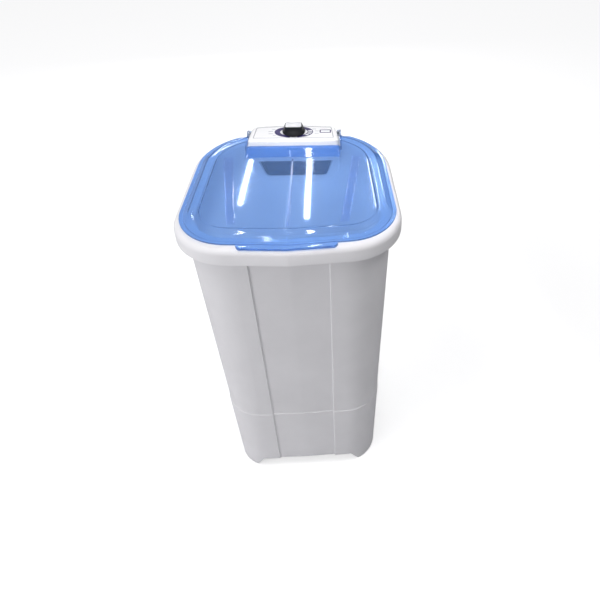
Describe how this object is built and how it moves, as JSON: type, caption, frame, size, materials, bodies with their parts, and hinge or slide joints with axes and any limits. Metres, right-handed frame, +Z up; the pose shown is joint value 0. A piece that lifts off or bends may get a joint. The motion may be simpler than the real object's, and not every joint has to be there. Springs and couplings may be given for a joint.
{
  "type": "semi-automatic washing machine",
  "caption": "Compact single-tub washer: tapered white cabinet, overhanging rolled rim, blue translucent lid, rear console with timer knob, belt-driven impeller.",
  "frame": {"origin": "on the floor, under the middle of the rim", "axes": "+Z up, +X to the right seen from the front, +Y to the rear, towards the console"},
  "size_m": [0.5116, 0.5219, 0.9059],
  "materials": {
    "cabinet_plastic": "moulded, satin",
    "tub_plastic": "moulded, gloss",
    "console_plastic": "moulded, gloss",
    "fascia_film": "printed film",
    "dial_print": "printed scale",
    "timer_plastic": "moulded",
    "cover_plastic": "moulded",
    "zinc_steel": "zinc plated",
    "foot_rubber": "moulded",
    "hose_plastic": "extruded",
    "gland_rubber": "moulded",
    "lead_jacket": "extruded",
    "bearing_plastic": "glass-filled, moulded",
    "bronze": "sintered",
    "bracket_steel": "zinc plated sheet",
    "stator_steel": "laminated",
    "cast_aluminium": "die cast",
    "capacitor_plastic": "moulded",
    "belt_rubber": "vulcanised",
    "lid_plastic": "translucent, gloss",
    "knob_plastic": "moulded, gloss",
    "insert_silver": "silver plated",
    "filter_plastic": "moulded",
    "filter_mesh": "woven net",
    "impeller_plastic": "moulded, gloss",
    "shaft_steel": "ground stainless",
    "pulley_plastic": "moulded"
  },
  "bodies": {
    "frame": {"cabinet": "cabinet_plastic", "tub": "tub_plastic", "console_housing": "console_plastic", "console_fascia": "fascia_film", "dial_ring": "dial_print", "timer_unit": "timer_plastic", "rear_cover": "cover_plastic", "cover_screw_lower_left": "zinc_steel", "cover_screw_upper_left": "zinc_steel", "cover_screw_lower_right": "zinc_steel", "cover_screw_upper_right": "zinc_steel", "foot_pad_front_left": "foot_rubber", "foot_pad_front_right": "foot_rubber", "foot_pad_rear_left": "foot_rubber", "foot_pad_rear_right": "foot_rubber", "drain_grille": "tub_plastic", "drain_elbow": "hose_plastic", "drain_hose_inner": "hose_plastic", "drain_hose_clamp_1": "zinc_steel", "drain_hose_clamp_2": "zinc_steel", "drain_outlet": "hose_plastic", "cable_gland": "gland_rubber", "motor_lead": "lead_jacket", "motor_lead_clip": "timer_plastic", "bearing_housing": "bearing_plastic", "shaft_bush_upper": "bronze", "shaft_bush_lower": "bronze", "shaft_seal": "gland_rubber", "motor_bracket": "bracket_steel", "bracket_bolt_1": "zinc_steel", "bracket_bolt_2": "zinc_steel", "bracket_bolt_3": "zinc_steel", "motor_stator": "stator_steel", "motor_end_bell_upper": "cast_aluminium", "motor_end_bell_lower": "cast_aluminium", "motor_bolt_1": "zinc_steel", "motor_bolt_2": "zinc_steel", "motor_bolt_3": "zinc_steel", "motor_bolt_4": "zinc_steel", "run_capacitor": "capacitor_plastic", "capacitor_clamp": "zinc_steel", "drive_belt": "belt_rubber"},
    "lid": {"lid": "lid_plastic", "hinge_pin_left": "lid_plastic", "hinge_pin_right": "lid_plastic"},
    "timer_knob": {"timer_knob": "knob_plastic", "knob_insert": "insert_silver", "timer_shaft": "timer_plastic"},
    "lint_filter": {"lint_filter_frame": "filter_plastic", "lint_filter_mesh": "filter_mesh"},
    "impeller": {"impeller": "impeller_plastic", "impeller_cap": "impeller_plastic", "impeller_bolt": "shaft_steel", "impeller_shaft": "shaft_steel", "drive_pulley": "pulley_plastic", "pulley_nut": "zinc_steel"},
    "motor_rotor": {"motor_rotor": "stator_steel", "motor_pulley": "cast_aluminium", "motor_fan": "pulley_plastic"}
  },
  "joints": [
    {"name": "lid_hinge", "type": "hinge", "parent": "frame", "child": "lid", "pos_m": [0, 0.225, 0.866], "axis": [-1, 0, 0], "range_deg": [0, 95]},
    {"name": "timer_knob_turn", "type": "hinge", "parent": "frame", "child": "timer_knob", "pos_m": [0, 0.2, 0.885], "axis": [0, 0, -1], "range_deg": [0, 300]},
    {"name": "lint_filter_slide", "type": "slide", "parent": "frame", "child": "lint_filter", "axis": [0, -1, 0], "range_m": [0, 0.045]},
    {"name": "impeller_spin", "type": "hinge", "parent": "frame", "child": "impeller", "pos_m": [0, 0, 0.3], "axis": [0, 0, 1], "continuous": true},
    {"name": "motor_spin", "type": "hinge", "parent": "frame", "child": "motor_rotor", "pos_m": [0.099, 0.099, 0.25], "axis": [0, 0, 1], "continuous": true}
  ],
  "couplings": [
    {"joint": "motor_spin", "follows": "impeller_spin", "ratio": 3.5}
  ]
}
